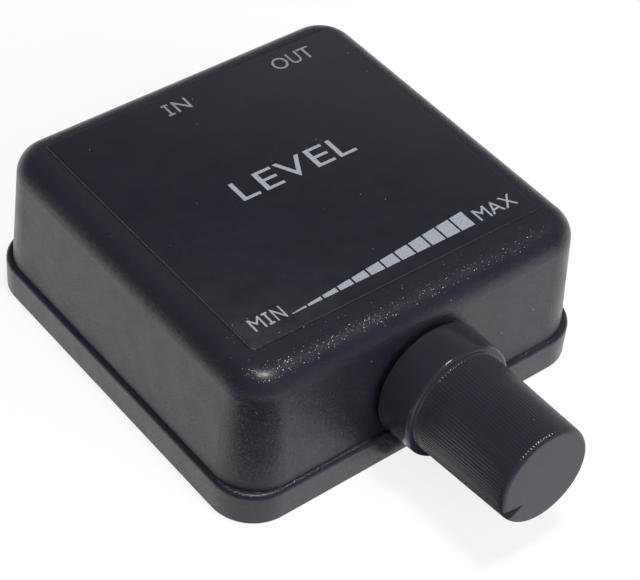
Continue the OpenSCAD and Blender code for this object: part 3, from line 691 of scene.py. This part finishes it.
bars = []
for bar in range(BAR_COUNT):
    start = BAR_PITCH * bar
    end = start + BAR_PITCH - BAR_GAP
    corners = [(BAR_LEFT + start, BAR_BASE), (BAR_LEFT + end, BAR_BASE)]
    for along in (end, start):
        rise = RAMP_LOW + (RAMP_HIGH - RAMP_LOW) * along / (BAR_PITCH * BAR_COUNT - BAR_GAP)
        corners.append((BAR_LEFT + along, BAR_BASE + rise))
    bars.append(prism(corners, 0, INK_T))
add_print("print_ramp", join(bars), ink)


# Case screws: domed heads with a cross cut, in the recesses of the underside

def screw_shape():
    """Screw from the middle of its domed head to its point"""
    segments = 48
    end = HEAD_H + SHANK_L
    rows = [(share * HEAD_R, drop) for share, drop in HEAD_DOME_ROWS]
    rows += [(HEAD_R - HEAD_ROUND, HEAD_DOME), (HEAD_R, HEAD_DOME + HEAD_SIDE), (HEAD_R, HEAD_H)]
    rows += [(SHANK_R, HEAD_H), (SHANK_R, end - POINT_L), (POINT_R, end)]
    loops = [[(0, 0, 0)]]
    loops += [ring_points(radius, height, segments) for radius, height in rows]
    loops.append([(0, 0, end)])
    return skin(loops)


def bar_shape(length, width, depth):
    """Bar that cuts one arm of a cross"""
    outline = [(-length, -width), (length, -width), (length, width), (-length, width)]
    return prism([(x / 2, y / 2) for x, y in outline], -depth, depth)


screw_low, screw_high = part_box("case_screws")
screw_x = screw_high.x - HEAD_R * MM
screw_y = screw_high.y - HEAD_R * MM
screws = []
for sign_x, sign_y in ((-1, -1), (1, -1), (1, 1), (-1, 1)):
    place = Matrix.Translation((sign_x * screw_x, sign_y * screw_y, screw_low.z))
    arms = [bar_shape(CROSS_L, CROSS_W, CROSS_D), bar_shape(CROSS_W, CROSS_L, CROSS_D)]
    single = bmesh.new()
    single.from_mesh(cut(as_mesh("screw_body", screw_shape(), place), arms, place))
    screws.append(single)
screw_mesh = bpy.data.meshes.new("case_screw_set")
all_screws = join(screws)
all_screws.to_mesh(screw_mesh)
all_screws.free()
screw_mesh.shade_smooth()
screw_mesh.set_sharp_from_angle(angle=CRISP)
add_piece("case_screw_set", screw_mesh, "case", "screw_steel", ["case_screws"])


# Sockets at the rear: a bush with a bevelled mouth and a knurled ring nut on each

def ring_depth(step):
    """Depth between the teeth of the ring nut"""
    wave = 0.5 - 0.5 * math.cos(2 * math.pi * step / RING_STEPS)
    return RING_TOOTH * wave


def ring_shape():
    """Ring nut, from the wall outwards, with bevels at both ends and a toothed edge"""
    segments = RING_TEETH * RING_STEPS
    inner = RING_BORE + RING_BORE_BEVEL
    outer = RING_R - RING_BEVEL
    rows = (
        (RING_BORE, RING_BORE_BEVEL, None), (inner, 0, None), (outer, 0, None),
        (RING_R, RING_BEVEL, ring_depth), (RING_R, RING_T - RING_BEVEL, ring_depth),
        (outer, RING_T, None), (inner, RING_T, None), (RING_BORE, RING_T - RING_BORE_BEVEL, None),
    )
    loops = [ring_points(radius, height, segments, depth) for radius, height, depth in rows]
    return skin(loops, closed=True)


def bush_shape():
    """Bush, from its flange inside the wall to its bevelled mouth"""
    segments = 96
    bevel = COLLET_L - MOUTH_BEVEL
    throat = COLLET_L - MOUTH_L
    rows = [
        (CHAMBER_R, -FLANGE_T), (FLANGE_R, -FLANGE_T), (FLANGE_R, 0), (COLLET_R, 0),
        (COLLET_R, bevel), (COLLET_R - MOUTH_BEVEL, COLLET_L), (PLUG_R + MOUTH_BEVEL, COLLET_L),
        (PLUG_R, bevel), (PLUG_R, throat), (CHAMBER_R, throat),
    ]
    return skin([ring_points(radius, height, segments) for radius, height in rows], closed=True)


for mount in record["mounts"]:
    if mount["kind"] != "bore":
        continue
    role = mount["name"].split("_")[0]
    axis = Vector(mount["axis"]).normalized()
    mouth = Vector(mount["pos_m"]) + axis * mount["dims"]["length_mm"] / 2 * MM
    side = Vector((1, 0, 0))
    place = Matrix((side, axis.cross(side), axis)).transposed().to_4x4()
    place.translation = mouth - axis * COLLET_L * MM
    bush_mesh = as_mesh(role + "_collet", bush_shape(), place)
    add_piece(role + "_collet", bush_mesh, "case", "nickel", [role + "_bush"])
    place.translation = mouth - axis * (COLLET_OVER + RING_T) * MM
    ring_mesh = as_mesh(role + "_ring_nut", ring_shape(), place)
    add_piece(role + "_ring_nut", ring_mesh, "case", "nickel", [role + "_nut"])


# Pale floor, which stays white to the camera and in reflections and keeps a soft shadow

FLOOR_HALF = 4.0
FLOOR_SHADE = 0.9
GLOW = 0.83


def floor_finish():
    """Diffuse white, with part of its light steady for the rays that show it"""
    made = bpy.data.materials.new("floor_paper")
    made.use_nodes = True
    tree = made.node_tree
    tree.nodes.remove(tree.nodes["Principled BSDF"])
    plain = tree.nodes.new("ShaderNodeBsdfDiffuse")
    plain.inputs["Color"].default_value = (FLOOR_SHADE, FLOOR_SHADE, FLOOR_SHADE, 1)
    seen = tree.nodes.new("ShaderNodeBsdfDiffuse")
    seen.inputs["Color"].default_value = (1 - GLOW, 1 - GLOW, 1 - GLOW, 1)
    steady = tree.nodes.new("ShaderNodeEmission")
    steady.inputs["Strength"].default_value = GLOW
    both = tree.nodes.new("ShaderNodeAddShader")
    tree.links.new(seen.outputs["BSDF"], both.inputs[0])
    tree.links.new(steady.outputs["Emission"], both.inputs[1])
    path = tree.nodes.new("ShaderNodeLightPath")
    share = path.outputs["Is Camera Ray"]
    for name in ("Is Glossy Ray", "Is Transmission Ray"):
        either = tree.nodes.new("ShaderNodeMath")
        either.operation = "MAXIMUM"
        tree.links.new(share, either.inputs[0])
        tree.links.new(path.outputs[name], either.inputs[1])
        share = either.outputs["Value"]
    chosen = tree.nodes.new("ShaderNodeMixShader")
    tree.links.new(share, chosen.inputs["Fac"])
    tree.links.new(plain.outputs["BSDF"], chosen.inputs[1])
    tree.links.new(both.outputs["Shader"], chosen.inputs[2])
    tree.links.new(chosen.outputs["Shader"], tree.nodes["Material Output"].inputs["Surface"])
    return made


floor_mesh = bpy.data.meshes.new("floor")
corners = [(x * FLOOR_HALF, y * FLOOR_HALF, 0) for x, y in ((-1, -1), (1, -1), (1, 1), (-1, 1))]
floor_mesh.from_pydata(corners, [], [(0, 1, 2, 3)])
floor_mesh.materials.append(floor_finish())
floor = bpy.data.objects.new("floor", floor_mesh)
scene.collection.objects.link(floor)


# Painted dark reflections: dark sheets on the floor that show only in the gloss of the walls, before the near
# corner, as a painted shadow under the knob, and far out on the left

PAINTED_SHEET_LIFT = 0.3
# Colour of the painted dark reflections and of the painted knob shadow
painted_dark_cloth = plain_finish("painted_dark_cloth", (0.01, 0.01, 0.012), (0.02, 0.02, 0.022), 0.9)


def add_painted_dark_reflection(name, corners):
    """Flat dark sheet over corners in millimetres, a painted reflection that shows only as a dark band in the
    gloss of the walls
    """
    mesh = bpy.data.meshes.new(name)
    points = [(x * MM, y * MM, PAINTED_SHEET_LIFT * MM) for x, y in corners]
    mesh.from_pydata(points, [], [range(len(points))])
    mesh.materials.append(painted_dark_cloth)
    dark_sheet = bpy.data.objects.new(name, mesh)
    scene.collection.objects.link(dark_sheet)
    # Hidden from the camera, from diffuse light and from shadows, so it only paints a dark reflection
    dark_sheet.visible_camera = False
    dark_sheet.visible_diffuse = False
    dark_sheet.visible_shadow = False


# Painted dark reflection in the walls before the near corner
add_painted_dark_reflection("painted_corner_reflection", (
    (-52, -12), (-32, -23.5), (-28.8, -26.3), (-25.3, -29.3), (-20.5, -32),
    (-6, -42), (-40, -75), (-84, -44),
))
# Painted shadow of the knob on the floor, seen only in the gloss of the walls
add_painted_dark_reflection("painted_knob_shadow", ((-4.8, -25.4), (-7, -29), (-8.5, -36), (-6, -43), (2, -46), (8, -43), (8, -25.4)))
# Painted dark reflection in the gloss of the left wall, far out on the left over the pale floor
add_painted_dark_reflection("painted_far_reflection", ((-100, -90), (-400, -90), (-400, 260), (-100, 260)))


# Surroundings: pale behind the object, dim and slightly blue above it and on the camera's side

PALE_LEAN = 0.45
PALE_TONE = (0.28, 0.28, 0.275, 1)
PALE_END = 0.10
DIM_TONE = (0.066, 0.073, 0.104, 1)
DIM_START = 0.42


def build_world():
    """World that is pale low down and far behind, and dims with height and towards the camera"""
    world = bpy.data.worlds.new("studio")
    world.use_nodes = True
    tree = world.node_tree
    coords = tree.nodes.new("ShaderNodeTexCoord")
    height = tree.nodes.new("ShaderNodeVectorMath")
    height.operation = "DOT_PRODUCT"
    height.inputs[1].default_value = (
        PALE_LEAN * math.sin(VIEW_AZIMUTH),
        -PALE_LEAN * math.cos(VIEW_AZIMUTH),
        1,
    )
    tree.links.new(coords.outputs["Generated"], height.inputs[0])
    ramp = tree.nodes.new("ShaderNodeValToRGB")
    tree.links.new(height.outputs["Value"], ramp.inputs["Fac"])
    ramp.color_ramp.interpolation = "EASE"
    low, high = ramp.color_ramp.elements
    low.position = PALE_END
    low.color = PALE_TONE
    high.position = DIM_START
    high.color = DIM_TONE
    back = tree.nodes["Background"]
    tree.links.new(ramp.outputs["Color"], back.inputs["Color"])
    scene.world = world


build_world()


# Lamps, in metres and watts: a key lamp overhead, and two soft fills that stay out of the gloss

LAMP_AIM = Vector((0, 0, 0.01))


def add_lamp(name, spot, power, size, colour, in_gloss=True):
    """Round area lamp that points at the object, and shows in the gloss or only lights it"""
    data = bpy.data.lights.new(name, "AREA")
    data.shape = "DISK"
    data.energy = power
    data.size = size
    data.color = colour
    lamp = bpy.data.objects.new(name, data)
    scene.collection.objects.link(lamp)
    lamp.location = spot
    lamp.rotation_euler = (LAMP_AIM - Vector(spot)).to_track_quat("-Z", "Y").to_euler()
    lamp.visible_glossy = in_gloss


add_lamp("key_lamp", (0.05, -0.12, 1.0), power=6.0, size=0.2, colour=(1.0, 0.99, 0.97))
add_lamp("front_fill", (0.2, -1.3, 0.5), power=10.0, size=0.8, colour=(1.0, 0.985, 0.95), in_gloss=False)
add_lamp("camera_fill", (-0.25, -0.82, 0.8), power=4.0, size=0.5, colour=(0.82, 0.88, 1.0), in_gloss=False)


# Camera at the photograph's viewing angle

def build_camera():
    """Camera that was fitted to the photograph, with its roll"""
    data = bpy.data.cameras.new("camera")
    data.sensor_width = SENSOR_W
    data.lens = FOCAL_PX / PHOTO_W * SENSOR_W
    data.clip_start = VIEW_NEAR
    data.clip_end = VIEW_FAR
    camera = bpy.data.objects.new("camera", data)
    scene.collection.objects.link(camera)
    back = Vector((
        math.sin(VIEW_AZIMUTH) * math.cos(VIEW_ELEVATION),
        -math.cos(VIEW_AZIMUTH) * math.cos(VIEW_ELEVATION),
        math.sin(VIEW_ELEVATION),
    ))
    level = Vector((0, 0, 1)).cross(back).normalized()
    upright = back.cross(level)
    across = math.cos(VIEW_ROLL) * level + math.sin(VIEW_ROLL) * upright
    above = math.cos(VIEW_ROLL) * upright - math.sin(VIEW_ROLL) * level
    place = Matrix((across, above, back)).transposed().to_4x4()
    place.translation = VIEW_TARGET + back * VIEW_DISTANCE
    camera.matrix_world = place
    scene.camera = camera


build_camera()
scene.view_settings.view_transform = "Standard"
